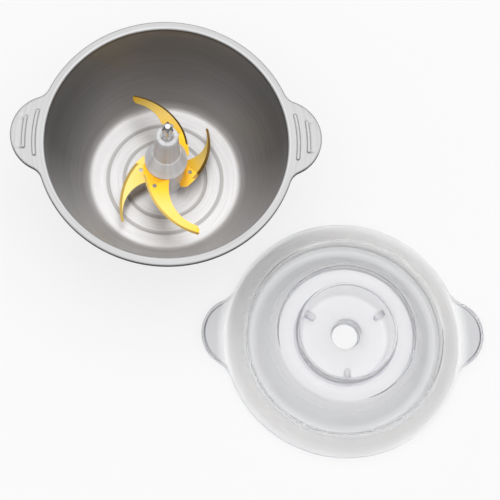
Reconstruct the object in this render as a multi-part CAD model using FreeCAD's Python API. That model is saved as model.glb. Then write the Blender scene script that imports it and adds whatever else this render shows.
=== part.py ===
import FreeCAD, Part
import math
import os

# Steel chopping bowl with its blade unit and its clear lid lying beside it.
# Millimetres. The origin is the centre of the bowl's foot on the worktop,
# +Z is up, the bowl's two ears lie along X and +Y points away from the viewer.

# Rounds smaller than this are made as flat bevels
smallest_arc = 2.0

# How far a cutting shape reaches past what it cuts
past = 1.0

# Bowl sheet
sheet = 0.8
flange_radius = 102.0
mouth_radius = 95.2
mouth_corner = 1.6
bowl_depth = 89.0
floor_radius = 61.4
floor_corner = 6.0
wall_foot_angle = 50.0
wall_top_angle = 87.0
wall_fill = 0.9
foot_ring_width = 4.4
panel_rise = 1.2
lip_drop = 4.0
lip_bevel = 1.0
flange_lap = 0.8
ear_reach = 122.0
ear_radius = 32.0
ear_blend = 13.0
ear_back = 4.5

# Finger grooves pressed into the bowl's ears
finger_groove_width = 3.4
finger_groove_depth = 1.0
finger_groove_shares = (0.22, 0.56)
finger_groove_half_angles = (10.0, 6.3)

# Grooves pressed into the bowl's floor, and the raised boss at its middle
groove_radii = (34.0, 47.6)
groove_width = 3.4
groove_depth = 0.5
boss_radius = 11.0
boss_skirt = 3.5
boss_height = 4.5
boss_round = 1.6

# Non-slip ring under the bowl
base_ring_thickness = 1.5
base_ring_outer = 58.5
base_ring_inner = 50.5
base_ring_bead = 1.1
base_ring_bevel = 0.4

# Spindle pin and what clamps it to the floor
pin_radius = 4.0
pin_top = 62.0
pin_chamfer = 0.8
pin_round = 0.4
collar_radius = 8.0
collar_thickness = 1.5
stud_radius = 3.0
seal_radius = 9.0
seal_thickness = 0.8
washer_radius = 6.5
washer_thickness = 0.8
nut_flats = 10.0
nut_height = 2.4
nut_dome = 4.1
stud_clearance = 0.08

# Sleeve that the blade unit turns on
running_gap = 0.05
sleeve_wall = 1.6
sleeve_cap = 2.0
sleeve_foot = 9.5
sleeve_round = 0.4

# Blade hub, heights above the bowl's floor
hub_foot_height = 8.0
lower_blade_height = 18.0
skirt_height = 46.0
skirt_edge = 1.6
shoulder_height = 64.3
neck_top = 99.0
hub_radius = 15.4
skirt_radius = 17.3
skirt_top_radius = 16.4
skirt_round = 2.0
shoulder_radius = 11.8
neck_base_radius = 10.9
neck_step = 0.6
neck_top_radius = 8.6
neck_round = 1.2
hub_wall = 2.2
shoulder_wall = 0.6
hub_rib = 1.4
hub_rib_count = 6
core_radius = 9.6
core_flats = 15.0
core_clearance = 0.1
foot_round = 1.2
foot_ledge = 3.0

# Drive star
star_top = 118.5
star_radius = 4.8
star_lobes = 6
flute_radius = 1.75
flute_centre = 5.5
star_point = 0.7
star_collar_radius = 5.0
star_collar_height = 1.6
shaft_radius = 3.9
shaft_hex_flats = 10.0
shaft_hex_height = 8.0
shaft_clearance = 0.05

# Blades, wings drawn in plan about the hub's axis as points that arcs pass through
blade_thickness = 1.3
blade_disc_radius = 14.9
blade_hole_radius = 1.7
bevel_land = 0.35
bend_radius = 15.6
upper_edge = ((-18.4, -6.5), (-6.1, -40.0), (27.2, -61.0))
upper_nose = (28.0, -57.8)
upper_throat = ((24.8, -53.2), (5.3, -36.0), (3.6, -14.0))
upper_heel = ((-14.0, -2.6), (-17.4, -3.6))
upper_hole = (-9.0, -22.4)
upper_notch = -13.3
upper_bevel = 1.7
upper_bend_bearing = -64.0
upper_droop_angle = 11.0
lower_edge = ((18.2, -12.9), (35.4, 12.5), (36.6, 41.3))
lower_nose = (35.6, 42.6)
lower_throat = ((34.5, 40.6), (28.0, 16.8), (8.0, 9.1))
lower_heel = ((12.3, -13.0), (15.4, -13.4))
lower_hole = (20.2, -0.5)
lower_notch = -6.2
lower_bevel = 2.4
lower_bend_bearing = 50.0
lower_droop_angle = 12.0

# Lid, radii from its own centre, heights above the top of its outer edge
lid_gap = 1.1
lid_bearing = -43.0
lid_radius = 97.5
lid_wall = 2.0
lid_skirt = 4.5
lid_skirt_wall = 1.6
lid_edge_bevel = 0.6
brim_lap = 0.4
lid_ear_length = 18.5
lid_ear_radius = 29.0
lid_ear_blend = 25.0
brim_width = 6.9
brim_rise = 2.0
crown_to_brim = 9.8
crown_height = 8.5
crown_half_width = 1.4
plug_taper = 3.6
trough_depth = 4.8
trough_width = 5.3
slope_width = 13.8
ridge_foot_height = 13.5
ridge_taper = 1.5
plateau_height = 20.5
collar_outer_foot = 40.9
collar_outer = 40.0
collar_top = 27.5
well_top_radius = 38.4
well_floor_radius = 35.5
well_floor = 6.0
brim_round = 8.0
crown_round = 1.8
trough_round = 6.0
ridge_round = 1.6
well_round = 1.9
collar_round = 0.6
drive_hole_radius = 10.5
drive_hole_lip = 13.1
drive_hole_lip_height = 1.0
lug_count = 3
lug_bearing = -89.0
lug_tip = 27.8
lug_width = 5.0
lug_top = 15.0
lug_height = 8.0

# Seal under the lid's brim
seal_gap = 0.5
seal_lap = 0.8
seal_lip_width = 3.5
seal_lip = 0.9
seal_height = 3.0
seal_flare = 0.4
seal_stand = 1.3

# Heights that follow
foot_top = base_ring_thickness + sheet
floor_z = foot_top + panel_rise
flange_top = floor_z + bowl_depth
boss_top = floor_z + boss_height
boss_under = boss_top - sheet
seal_top = boss_top + seal_thickness
collar_top_z = seal_top + collar_thickness
pin_top_z = floor_z + pin_top
sleeve_top_z = pin_top_z + sleeve_cap
sleeve_radius = pin_radius + running_gap + sleeve_wall
hub_bore = sleeve_radius + running_gap
lid_distance = flange_radius + lid_radius + lid_gap
lid_x = lid_distance * math.cos(math.radians(lid_bearing))
lid_y = lid_distance * math.sin(math.radians(lid_bearing))
lid_z = trough_depth + lid_wall

# Radii of the lid that follow from its outer one
lid_ear_reach = lid_radius + lid_ear_length
brim_inner = lid_radius - brim_width
crown_radius = brim_inner - crown_to_brim
trough_outer = crown_radius - plug_taper
trough_inner = trough_outer - trough_width
ridge_foot_radius = trough_inner - slope_width
ridge_radius = ridge_foot_radius - ridge_taper
seal_body_outer = brim_inner + seal_lap
seal_lip_outer = seal_body_outer + seal_lip_width


def vec(x, y=0.0, z=0.0):
    return FreeCAD.Vector(x, y, z)


def rounded_edges(corners):
    """Edges of a line through corners (r, z, radius), each rounded, or bevelled where small."""
    points = [vec(r, 0, z) for r, z, radius in corners]
    edges = []
    start = points[0]
    for i in range(1, len(points) - 1):
        before = (points[i] - points[i - 1]).normalize()
        after = (points[i + 1] - points[i]).normalize()
        radius = corners[i][2]
        turn = before.getAngle(after)
        if radius <= 0 or turn < 1e-6:
            edges.append(Part.makeLine(start, points[i]))
            start = points[i]
            continue
        reach = radius * math.tan(turn / 2)
        first = points[i] - before * reach
        last = points[i] + after * reach
        inward = (after - before).normalize()
        middle = points[i] + inward * (radius / math.cos(turn / 2) - radius)
        if (first - start).Length > 1e-6:
            edges.append(Part.makeLine(start, first))
        if radius < smallest_arc:
            edges.append(Part.makeLine(first, last))
        else:
            edges.append(Part.Arc(first, middle, last).toShape())
        start = last
    if (points[-1] - start).Length > 1e-6:
        edges.append(Part.makeLine(start, points[-1]))
    return edges


def offset_corners(corners, distance):
    """The same line moved to its left by a distance, its rounds kept concentric."""
    moved = []
    last = len(corners) - 1
    for i, (r, z, radius) in enumerate(corners):
        here = vec(r, 0, z)
        normals = []
        for a, b in ((i - 1, i), (i, i + 1)):
            if a < 0 or b > last:
                continue
            along = (vec(corners[b][0], 0, corners[b][1]) - vec(corners[a][0], 0, corners[a][1])).normalize()
            normals.append(vec(-along.z, 0, along.x))
        if len(normals) == 1:
            normals = normals * 2
        shift = (normals[0] + normals[1]) * (distance / (1 + normals[0].dot(normals[1])))
        side = normals[0].x * normals[1].z - normals[0].z * normals[1].x
        new_radius = radius - distance if side > 0 else radius + distance
        there = here + shift
        moved.append((there.x, there.z, max(new_radius, 0.0) if radius > 0 else 0.0))
    return moved


def ring_of(corners):
    """Solid of revolution about Z of the closed outline through rounded corners."""
    closed = list(corners)
    edges = rounded_edges(closed + [(closed[0][0], closed[0][1], 0)])
    return Part.Face(Part.Wire(edges)).revolve(vec(0), vec(0, 0, 1), 360)


def shell_of(corners, thickness):
    """Solid of revolution of a wall: the line and its copy moved to its left."""
    upper = rounded_edges(corners)
    far = offset_corners(corners, thickness)
    lower = rounded_edges(far)
    ends = [
        Part.makeLine(vec(corners[0][0], 0, corners[0][1]), vec(far[0][0], 0, far[0][1])),
        Part.makeLine(vec(corners[-1][0], 0, corners[-1][1]), vec(far[-1][0], 0, far[-1][1])),
    ]
    wire = Part.Wire(Part.__sortEdges__(upper + lower + ends))
    return Part.Face(wire).revolve(vec(0), vec(0, 0, 1), 360)


def tube(outer, inner, low, high):
    body = Part.makeCylinder(outer, high - low, vec(0, 0, low))
    return body.cut(Part.makeCylinder(inner, high - low, vec(0, 0, low)))


def block(x0, x1, y0, y1, z0, z1):
    return Part.makeBox(x1 - x0, y1 - y0, z1 - z0, vec(x0, y0, z0))


def hexagon(flats, low, height):
    radius = flats / math.sqrt(3)
    points = [vec(radius * math.cos(math.radians(60 * i)), radius * math.sin(math.radians(60 * i)), low)
              for i in range(6)]
    return Part.Face(Part.makePolygon(points + points[:1])).extrude(vec(0, 0, height))


def eared_prism(radius, reach, ear, blend, inset, low, high):
    """Prism of a circle with an ear at each end of X, a little to the back, joined by concave arcs."""
    centre = vec(reach - ear, ear_back)
    along = ((radius + blend) ** 2 - (ear + blend) ** 2 + centre.Length ** 2) / (2 * centre.Length)
    across = math.sqrt((radius + blend) ** 2 - along ** 2)
    out = centre * (1 / centre.Length)

    def blend_arc(side):
        """Ends and middle of the concave arc behind (1) or before (-1) the right ear."""
        pivot = out * along + vec(-out.y, out.x) * (side * across)
        on_circle = pivot * ((radius - inset) / (radius + blend))
        on_ear = centre + (pivot - centre) * ((ear - inset) / (ear + blend))
        toward = (on_circle + on_ear) * 0.5 - pivot
        return on_circle, pivot + toward.normalize() * (blend + inset), on_ear

    def arc(points, side):
        """Arc through three points, on the right (1) or mirrored to the left (-1)."""
        return Part.Arc(*[vec(point.x * side, point.y, low) for point in points]).toShape()

    back = blend_arc(1)
    front = blend_arc(-1)
    tip = centre + vec(ear - inset)
    edges = []
    for side in (1, -1):
        edges.append(arc(back, side))
        edges.append(arc((back[2], tip, front[2]), side))
        edges.append(arc(front, side))
    for near, y in ((back[0], radius - inset), (front[0], inset - radius)):
        edges.append(Part.Arc(vec(near.x, near.y, low), vec(0, y, low), vec(-near.x, near.y, low)).toShape())
    return Part.Face(Part.Wire(Part.__sortEdges__(edges))).extrude(vec(0, 0, high - low))


def bevel_rim(solid, height, size, beyond):
    """Bevel the edges that lie at a height and outside a radius from the axis."""
    rim = [e for e in solid.Edges
           if abs(e.BoundBox.ZMin - height) < 1e-4 and abs(e.BoundBox.ZMax - height) < 1e-4
           and all(math.hypot(v.X, v.Y) > beyond for v in e.Vertexes)]
    return solid.makeChamfer(size, rim)


def tangent_corner(low, low_angle, high, high_angle):
    """Corner where the tangents of a wall's foot and head meet, and the arc's radius there."""
    a = math.radians(low_angle)
    b = math.radians(high_angle)
    dx = high[0] - low[0]
    dz = high[1] - low[1]
    reach = (dx * math.sin(b) - dz * math.cos(b)) / math.sin(b - a)
    corner = (low[0] + reach * math.cos(a), low[1] + reach * math.sin(a))
    return corner, reach / math.tan((b - a) / 2)


def floor_line():
    """Inner line of the bowl's floor from the pin hole out to the standing ring."""
    line = [(stud_radius + stud_clearance, boss_top, 0), (boss_radius, boss_top, boss_round),
            (boss_radius + boss_skirt, floor_z, boss_round)]
    half = groove_width / 2
    for radius in groove_radii:
        line.append((radius - half, floor_z, 0))
        line.append((radius - half / 3, floor_z - groove_depth, 0))
        line.append((radius + half / 3, floor_z - groove_depth, 0))
        line.append((radius + half, floor_z, 0))
    ring = floor_radius - foot_ring_width
    line.append((ring - panel_rise, floor_z, 0))
    line.append((ring, foot_top, 0))
    return line


def bowl_wall():
    """Pressed floor and wall as one sheet of even thickness."""
    foot = (floor_radius, foot_top)
    head = (mouth_radius, flange_top)
    corner, radius = tangent_corner(foot, wall_foot_angle, head, wall_top_angle)
    line = floor_line()
    line.append((foot[0], foot[1], floor_corner))
    line.append((corner[0], corner[1], radius * wall_fill))
    line.append((head[0], head[1], mouth_corner))
    line.append((head[0] + mouth_corner + 2 * flange_lap, head[1], 0))
    return shell_of(line, -sheet)


def bowl_flange():
    """Flat flange with two ears and a lip turned down along its whole edge."""
    lip_foot = flange_top - lip_drop
    outer = eared_prism(flange_radius, ear_reach, ear_radius, ear_blend, 0, lip_foot, flange_top)
    outer = bevel_rim(outer, flange_top, lip_bevel, mouth_radius)
    under = flange_top - sheet
    inner = eared_prism(flange_radius, ear_reach, ear_radius, ear_blend, sheet, lip_foot - past, under)
    inner = bevel_rim(inner, under, lip_bevel, mouth_radius)
    hole = Part.makeCylinder(mouth_radius + mouth_corner + flange_lap, 2 * lip_drop,
                             vec(0, 0, flange_top - lip_drop - past))
    return outer.cut(inner).cut(hole)


def finger_groove(radius, half_angle, wall, top):
    """Groove along an arc about the bowl's axis, round at its bottom and ends, made larger by a wall."""
    half = finger_groove_width / 2
    curve = (finger_groove_depth ** 2 + half ** 2) / (2 * finger_groove_depth)
    middle = flange_top - finger_groove_depth + curve
    reach = math.sqrt((curve + wall) ** 2 - (middle - top) ** 2)
    bottom = middle - curve - wall
    near = vec(radius - reach, 0, top)
    far = vec(radius + reach, 0, top)
    arc = Part.Arc(near, vec(radius, 0, bottom), far).toShape()
    chord = Part.makeLine(far, near)
    groove = Part.Face(Part.Wire([arc, chord])).revolve(vec(0), vec(0, 0, 1), 2 * half_angle)
    groove.rotate(vec(0), vec(0, 0, 1), -half_angle)
    slope = math.asin(reach / (curve + wall)) / 2
    on_arc = vec((curve + wall) * math.sin(slope), 0, middle - (curve + wall) * math.cos(slope))
    outline = [
        Part.Arc(vec(0, 0, bottom), on_arc, vec(reach, 0, top)).toShape(),
        Part.makeLine(vec(reach, 0, top), vec(0, 0, top)),
        Part.makeLine(vec(0, 0, top), vec(0, 0, bottom)),
    ]
    dome = Part.Face(Part.Wire(outline)).revolve(vec(0), vec(0, 0, 1), 360)
    dome.translate(vec(radius))
    ends = []
    for side in (-1, 1):
        end = dome.copy()
        end.rotate(vec(0), vec(0, 0, 1), side * half_angle)
        ends.append(end)
    return groove.fuse(ends)


def bowl_shell():
    """Bowl, flange and ears in one sheet, each groove cut above and standing out below."""
    solid = bowl_wall().fuse(bowl_flange())
    ear_bearing = math.degrees(math.atan2(ear_back, ear_reach - ear_radius))
    ear_start = mouth_radius + mouth_corner + 2 * flange_lap
    grooves = []
    backs = []
    for bearing in (ear_bearing, 180 - ear_bearing):
        for share, half_angle in zip(finger_groove_shares, finger_groove_half_angles):
            radius = ear_start + share * (ear_reach - ear_start)
            groove = finger_groove(radius, half_angle, 0, flange_top + finger_groove_depth / 2)
            back = finger_groove(radius, half_angle, sheet, flange_top - sheet / 2)
            groove.rotate(vec(0), vec(0, 0, 1), bearing)
            back.rotate(vec(0), vec(0, 0, 1), bearing)
            grooves.append(groove)
            backs.append(back)
    return solid.fuse(backs).cut(grooves).removeSplitter()


def base_ring():
    """Flat ring under the standing ring, with a bead that plugs into the raised floor."""
    bead = floor_radius - foot_ring_width - panel_rise - sheet
    low = base_ring_thickness
    return ring_of([(base_ring_inner, 0, 0), (base_ring_outer, 0, base_ring_bevel),
                    (base_ring_outer, low, 0), (bead + base_ring_bevel, low, 0),
                    (bead - base_ring_bevel, low + base_ring_bead, 0),
                    (base_ring_inner, low + base_ring_bead, 0)])


def spindle_pin():
    """Headed pin: stud through the floor, collar on the seal, shaft up into the blade unit."""
    stud_foot = boss_under - washer_thickness - nut_height
    return ring_of([(0, stud_foot, 0), (stud_radius, stud_foot, 0),
                    (stud_radius, seal_top, 0), (collar_radius, seal_top, 0),
                    (collar_radius, collar_top_z, pin_round),
                    (pin_radius, collar_top_z, pin_round), (pin_radius, pin_top_z - pin_chamfer, 0),
                    (pin_radius - pin_chamfer, pin_top_z, 0), (0, pin_top_z, 0)])


def pin_seal():
    return tube(seal_radius, stud_radius + stud_clearance, boss_top, seal_top)


def pin_washer():
    return tube(washer_radius, stud_radius + stud_clearance, boss_under - washer_thickness, boss_under)


def pin_nut():
    """Hexagon nut with chamfered corners under the washer."""
    low = boss_under - washer_thickness - nut_height
    corner = nut_flats / math.sqrt(3)
    nut = hexagon(nut_flats, low, nut_height)
    dome = Part.makeCone(nut_flats / 2, nut_flats / 2 + nut_dome, nut_height, vec(0, 0, low))
    nut = nut.common(dome.common(Part.makeCylinder(corner, nut_height, vec(0, 0, low))))
    return nut.cut(Part.makeCylinder(stud_radius + stud_clearance, nut_height, vec(0, 0, low)))


def pivot_sleeve():
    """Capped bush that sits over the pin and rests on its flat top."""
    bore = pin_radius + running_gap
    foot = floor_z + sleeve_foot
    return ring_of([(bore, foot, 0), (sleeve_radius, foot, sleeve_round),
                    (sleeve_radius, sleeve_top_z, sleeve_round),
                    (0, sleeve_top_z, 0), (0, pin_top_z, 0),
                    (bore, pin_top_z, 0)])


def core_prism(clearance, low, high):
    """Round core with two flats that keep the blades from turning on it."""
    radius = core_radius + clearance
    flat = core_flats / 2 + clearance
    return Part.makeCylinder(radius, high - low, vec(0, 0, low)).common(
        block(-flat, flat, -radius, radius, low, high))


def hub_outline():
    """Outer line of neck and skirt, from the skirt's foot up to the neck's top."""
    skirt = floor_z + skirt_height
    shoulder = floor_z + shoulder_height
    return [(skirt_radius, skirt, 0), (skirt_radius, skirt + skirt_edge, 0),
            (skirt_top_radius, skirt + 2 * skirt_edge, skirt_round), (shoulder_radius, shoulder, neck_step),
            (neck_base_radius, shoulder + neck_step, 0), (neck_top_radius, floor_z + neck_top, neck_round)]


def hub_pocket():
    """Hollow under the skirt round the core, crossed by radial ribs."""
    skirt = floor_z + skirt_height
    roof = floor_z + shoulder_height - 2 * hub_wall
    pocket = ring_of([(core_radius, skirt - past, 0), (skirt_radius - hub_wall, skirt - past, 0),
                      (skirt_top_radius - hub_wall, skirt + 2 * skirt_edge, 0),
                      (shoulder_radius - shoulder_wall, roof, 0), (core_radius, roof, 0)])
    for i in range(hub_rib_count):
        rib = block(0, skirt_radius, -hub_rib / 2, hub_rib / 2, skirt - 2 * past, roof + past)
        rib.rotate(vec(0), vec(0, 0, 1), 360.0 * i / hub_rib_count)
        pocket = pocket.cut(rib)
    return pocket


def blade_hub():
    """Moulded neck and skirt in one piece with the core that carries the blades."""
    skirt = floor_z + skirt_height
    top = floor_z + neck_top
    outline = hub_outline()
    body = ring_of([(0, skirt, 0)] + outline + [(0, top, 0)]).cut(hub_pocket())
    core = core_prism(0, floor_z + hub_foot_height + foot_ledge, skirt + past)
    solid = body.fuse(core)
    cuts = [
        Part.makeCylinder(hub_bore, sleeve_top_z, vec(0, 0, 0)),
        Part.makeCylinder(shaft_radius + shaft_clearance, top, vec(0, 0, sleeve_top_z - past)),
        hexagon(shaft_hex_flats + 2 * shaft_clearance, sleeve_top_z - past, shaft_hex_height + past),
    ]
    return solid.cut(cuts).removeSplitter()


def drive_star():
    """Steel shaft with a hexagon foot, a round collar and a fluted six-lobed head."""
    top = floor_z + star_top
    neck = floor_z + neck_top
    head_foot = neck + star_collar_height
    head = Part.makeCylinder(star_radius, top - head_foot, vec(0, 0, head_foot))
    flutes = []
    for i in range(star_lobes):
        angle = math.radians(360.0 * i / star_lobes)
        at = vec(flute_centre * math.cos(angle), flute_centre * math.sin(angle), head_foot)
        flutes.append(Part.makeCylinder(flute_radius, top - head_foot, at))
    point = Part.makeCone(star_radius + top - head_foot - star_point, star_radius - star_point,
                          top - head_foot, vec(0, 0, head_foot))
    head = head.cut(flutes).common(point)
    collar = Part.makeCylinder(star_collar_radius, star_collar_height, vec(0, 0, neck))
    shaft = Part.makeCylinder(shaft_radius, neck - sleeve_top_z, vec(0, 0, sleeve_top_z))
    foot = hexagon(shaft_hex_flats, sleeve_top_z, shaft_hex_height - shaft_clearance)
    return head.fuse([collar, shaft, foot]).removeSplitter()


def wing(edge, nose, throat, heel, hole, bevel, ground, height):
    """One flat wing inside four arcs, with its convex edge ground to a bevel over one stretch."""
    def at(point):
        return vec(point[0], point[1], height)

    cutting = Part.Arc(at(edge[0]), at(edge[1]), at(edge[2])).toShape()
    circle = cutting.Curve
    outline = [
        cutting,
        Part.Arc(at(edge[2]), at(nose), at(throat[0])).toShape(),
        Part.Arc(at(throat[0]), at(throat[1]), at(throat[2])).toShape(),
        Part.makeLine(at(throat[2]), at(heel[0])),
        Part.Arc(at(heel[0]), at(heel[1]), at(edge[0])).toShape(),
    ]
    flat = Part.Face(Part.Wire(outline)).extrude(vec(0, 0, blade_thickness))
    band = Part.makeCylinder(circle.Radius + bevel, blade_thickness, circle.Center)
    wide = circle.Radius + bevel_land * bevel / (blade_thickness - bevel_land)
    cone = Part.makeCone(wide, circle.Radius - bevel, blade_thickness, circle.Center)
    flat = flat.cut(band.cut(cone).common(ground))
    return flat.cut(Part.makeCylinder(blade_hole_radius, blade_thickness, at(hole)))


def bent(flat, bearing, bend_at, droop, height):
    """Bend the part of a flat wing that lies beyond a line down by an angle."""
    top = height + blade_thickness
    outward = vec(math.cos(math.radians(bearing)), math.sin(math.radians(bearing)))
    hinge = vec(outward.x * bend_at, outward.y * bend_at, top)
    half = block(bend_at, flange_radius, -flange_radius, flange_radius, height - past, top + past)
    half.rotate(vec(0), vec(0, 0, 1), bearing)
    beyond = flat.common(half)
    beyond.rotate(hinge, vec(-outward.y, outward.x), droop)
    return flat.cut(half).fuse(beyond)


def blade_pair(one_wing, height):
    """Two equal wings on one disc, with the core's shape cut out of its middle."""
    other = one_wing.copy()
    other.rotate(vec(0), vec(0, 0, 1), 180)
    disc = Part.makeCylinder(blade_disc_radius, blade_thickness, vec(0, 0, height))
    hole = core_prism(core_clearance, height - past, height + blade_thickness + past)
    return disc.fuse([one_wing, other]).cut(hole).removeSplitter()


def upper_blades():
    """Long pair right under the skirt, its tips drooping."""
    height = floor_z + skirt_height - blade_thickness
    ground = block(-flange_radius, flange_radius, -flange_radius, upper_notch,
                   height, height + blade_thickness)
    flat = wing(upper_edge, upper_nose, upper_throat, upper_heel, upper_hole, upper_bevel, ground, height)
    return blade_pair(bent(flat, upper_bend_bearing, bend_radius, upper_droop_angle, height), height)


def lower_blades():
    """Short hooked pair near the bowl's floor, set across the upper pair."""
    height = floor_z + lower_blade_height
    ground = block(0, flange_radius, lower_notch, flange_radius, height, height + blade_thickness)
    flat = wing(lower_edge, lower_nose, lower_throat, lower_heel, lower_hole, lower_bevel, ground, height)
    return blade_pair(bent(flat, lower_bend_bearing, bend_radius, lower_droop_angle, height), height)


def blade_spacer():
    """Tube between the two pairs of blades."""
    low = floor_z + lower_blade_height + blade_thickness
    high = floor_z + skirt_height - blade_thickness
    body = Part.makeCylinder(hub_radius, high - low, vec(0, 0, low))
    return body.cut(core_prism(core_clearance, low, high))


def hub_foot():
    """Ring that closes the stack under the lower blades, round the foot of the core."""
    low = floor_z + hub_foot_height
    high = floor_z + lower_blade_height
    body = ring_of([(0, low, 0), (hub_radius, low, foot_round), (hub_radius, high, 0), (0, high, 0)])
    body = body.cut(core_prism(core_clearance, low + foot_ledge, high))
    return body.cut(Part.makeCylinder(hub_bore, high - low, vec(0, 0, low)))


def well_radius(height):
    """Radius of the well's drafted wall at a height."""
    share = (height - well_floor) / (collar_top - well_floor)
    return well_floor_radius + share * (well_top_radius - well_floor_radius)


def lid_line():
    """Upper line of the lid from its outer edge in to the drive hole, without the collar."""
    return [(lid_radius - lid_skirt_wall, 0, 0), (brim_inner, brim_rise, brim_round),
            (crown_radius + crown_half_width, crown_height, crown_round),
            (crown_radius - crown_half_width, crown_height, 0), (trough_outer, -trough_depth, 0),
            (trough_inner, -trough_depth, trough_round), (ridge_foot_radius, ridge_foot_height, 0),
            (ridge_radius, plateau_height, ridge_round), (well_radius(plateau_height), plateau_height, 0),
            (well_floor_radius, well_floor, well_round), (drive_hole_radius, well_floor, 0)]


def lid_collar():
    """Collar that stands on the plateau and carries on the well's wall."""
    low = plateau_height - lid_wall / 2
    return ring_of([(well_radius(low), low, 0), (collar_outer_foot, low, 0),
                    (collar_outer, collar_top, collar_round),
                    (well_top_radius, collar_top, collar_round)])


def lid_lug(bearing):
    """Upright lug on the well's wall, round at its tip."""
    low = lug_top - lug_height
    tip = lug_tip + lug_width / 2
    lug = Part.makeCylinder(lug_width / 2, lug_height, vec(tip, 0, low))
    lug = lug.fuse(block(tip, well_top_radius, -lug_width / 2, lug_width / 2, low, lug_top))
    lug.rotate(vec(0), vec(0, 0, 1), bearing)
    return lug


def lid_shell():
    """Clear lid: eared brim with a skirt, raised crown, trough, plateau, collar and well."""
    outer = eared_prism(lid_radius, lid_ear_reach, lid_ear_radius, lid_ear_blend, 0, -lid_skirt, 0)
    outer = bevel_rim(outer, 0, lid_edge_bevel, brim_inner)
    inner = eared_prism(lid_radius, lid_ear_reach, lid_ear_radius, lid_ear_blend, lid_skirt_wall,
                        -lid_skirt - past, -lid_wall)
    middle = Part.makeCylinder(lid_radius - lid_skirt_wall - brim_lap, 3 * lid_skirt,
                               vec(0, 0, -2 * lid_skirt))
    brim = outer.cut(inner).cut(middle)
    dome = shell_of(lid_line(), lid_wall)
    lip = tube(drive_hole_lip, drive_hole_radius, well_floor - lid_wall / 2,
               well_floor + drive_hole_lip_height)
    lugs = [lid_lug(lug_bearing + 360.0 * i / lug_count) for i in range(lug_count)]
    solid = brim.fuse([dome, lid_collar(), lip] + lugs).removeSplitter()
    solid.translate(vec(lid_x, lid_y, lid_z))
    return solid


def lid_seal():
    """Soft ring round the lid's plug, under the brim, with a thin lip for the bowl's mouth."""
    top = brim_rise - lid_wall - seal_gap
    low = top - seal_height
    inner = trough_outer + lid_wall + seal_stand
    lip = low + seal_lip
    ring = ring_of([(inner, low, 0), (seal_body_outer, low, 0), (seal_lip_outer, low - seal_flare, 0),
                    (seal_lip_outer, lip - seal_flare, 0), (seal_body_outer, lip + seal_flare, 0),
                    (seal_body_outer, top, 0), (inner, top, 0)])
    ring.translate(vec(lid_x, lid_y, lid_z))
    return ring


PIECES = (bowl_shell, base_ring, spindle_pin, pin_seal, pin_washer, pin_nut, pivot_sleeve, drive_star,
          blade_hub, upper_blades, blade_spacer, lower_blades, hub_foot, lid_shell, lid_seal)

os.makedirs("parts", exist_ok=True)
for make in PIECES:
    shape = make()
    name = make.__name__
    if len(shape.Solids) != 1 or not shape.isValid():
        print("check", name, len(shape.Solids), "solids, valid", shape.isValid())
    shape.exportStep("parts/" + name + ".step")
    box = shape.BoundBox
    print(name, "volume %.0f" % shape.Volume, "x %.1f %.1f y %.1f %.1f z %.1f %.1f" % (
        box.XMin, box.XMax, box.YMin, box.YMax, box.ZMin, box.ZMax))
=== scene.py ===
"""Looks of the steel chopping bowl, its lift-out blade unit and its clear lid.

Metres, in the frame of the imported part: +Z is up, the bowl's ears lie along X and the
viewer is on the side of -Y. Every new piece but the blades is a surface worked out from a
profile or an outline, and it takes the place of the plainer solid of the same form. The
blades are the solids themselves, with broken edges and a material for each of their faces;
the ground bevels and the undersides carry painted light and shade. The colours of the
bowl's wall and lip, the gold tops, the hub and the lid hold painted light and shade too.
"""

import math

import bmesh
import bpy
import numpy as np
from mathutils import Matrix, Vector


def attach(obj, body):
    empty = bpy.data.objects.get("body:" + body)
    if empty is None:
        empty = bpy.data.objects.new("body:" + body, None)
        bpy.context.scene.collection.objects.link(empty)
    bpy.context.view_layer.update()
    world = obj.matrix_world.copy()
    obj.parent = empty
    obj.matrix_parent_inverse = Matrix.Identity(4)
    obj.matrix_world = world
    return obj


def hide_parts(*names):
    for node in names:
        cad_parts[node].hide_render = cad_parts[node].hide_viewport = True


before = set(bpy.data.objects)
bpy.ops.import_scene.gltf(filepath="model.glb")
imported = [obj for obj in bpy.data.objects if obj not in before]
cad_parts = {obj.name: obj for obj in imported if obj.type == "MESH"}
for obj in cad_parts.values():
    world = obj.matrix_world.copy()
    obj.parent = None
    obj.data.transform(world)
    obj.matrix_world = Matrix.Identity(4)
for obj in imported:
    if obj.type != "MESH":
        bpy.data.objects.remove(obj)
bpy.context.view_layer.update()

MM = 0.001

# Bowl
FLOOR_Z = 3.5 * MM
FLANGE_TOP = 92.5 * MM
SHEET = 0.8 * MM
FLANGE_RADIUS = 102.0 * MM
MOUTH_RADIUS = 95.2 * MM
MOUTH_ROUND = 1.6 * MM
FLANGE_START = 0.8 * MM
FLOOR_RADIUS = 61.4 * MM
FLOOR_ROUND = 6.0 * MM
FLOOR_SOFT_ROUND = 8.0 * MM
WALL_FOOT_ANGLE = 50.0
WALL_TOP_ANGLE = 87.0
WALL_ROUND_SHARE = 0.8
STANDING_RING = 57.0 * MM
STANDING_SLOPE = 1.2 * MM
STANDING_ROUND = 0.9 * MM
FOOT_TOP = 2.3 * MM
LIP_DROP = 4.0 * MM
LIP_ROUND = 1.4 * MM
LIP_EDGE = 0.2 * MM
EAR_REACH = 122.0 * MM
EAR_RADIUS = 32.0 * MM
EAR_BLEND = 13.0 * MM
EAR_BACK = 4.5 * MM
GROOVES = (34.0 * MM, 47.6 * MM)
GROOVE_HALF = 1.7 * MM
GROOVE_DEPTH = 0.15 * MM
GROOVE_ROUND = 3.0 * MM
BOSS_TOP = 8.0 * MM
BOSS_RADIUS = 11.0 * MM
BOSS_SKIRT = 3.5 * MM
BOSS_ROUND = 2.2 * MM
STUD_HOLE = 3.08 * MM
FINGER_GROOVE_WIDTH = 3.6 * MM
FINGER_GROOVE_DEPTH = 0.9 * MM
FINGER_GROOVES = ((103.6 * MM, 10.0), (111.6 * MM, 6.3))

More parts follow.
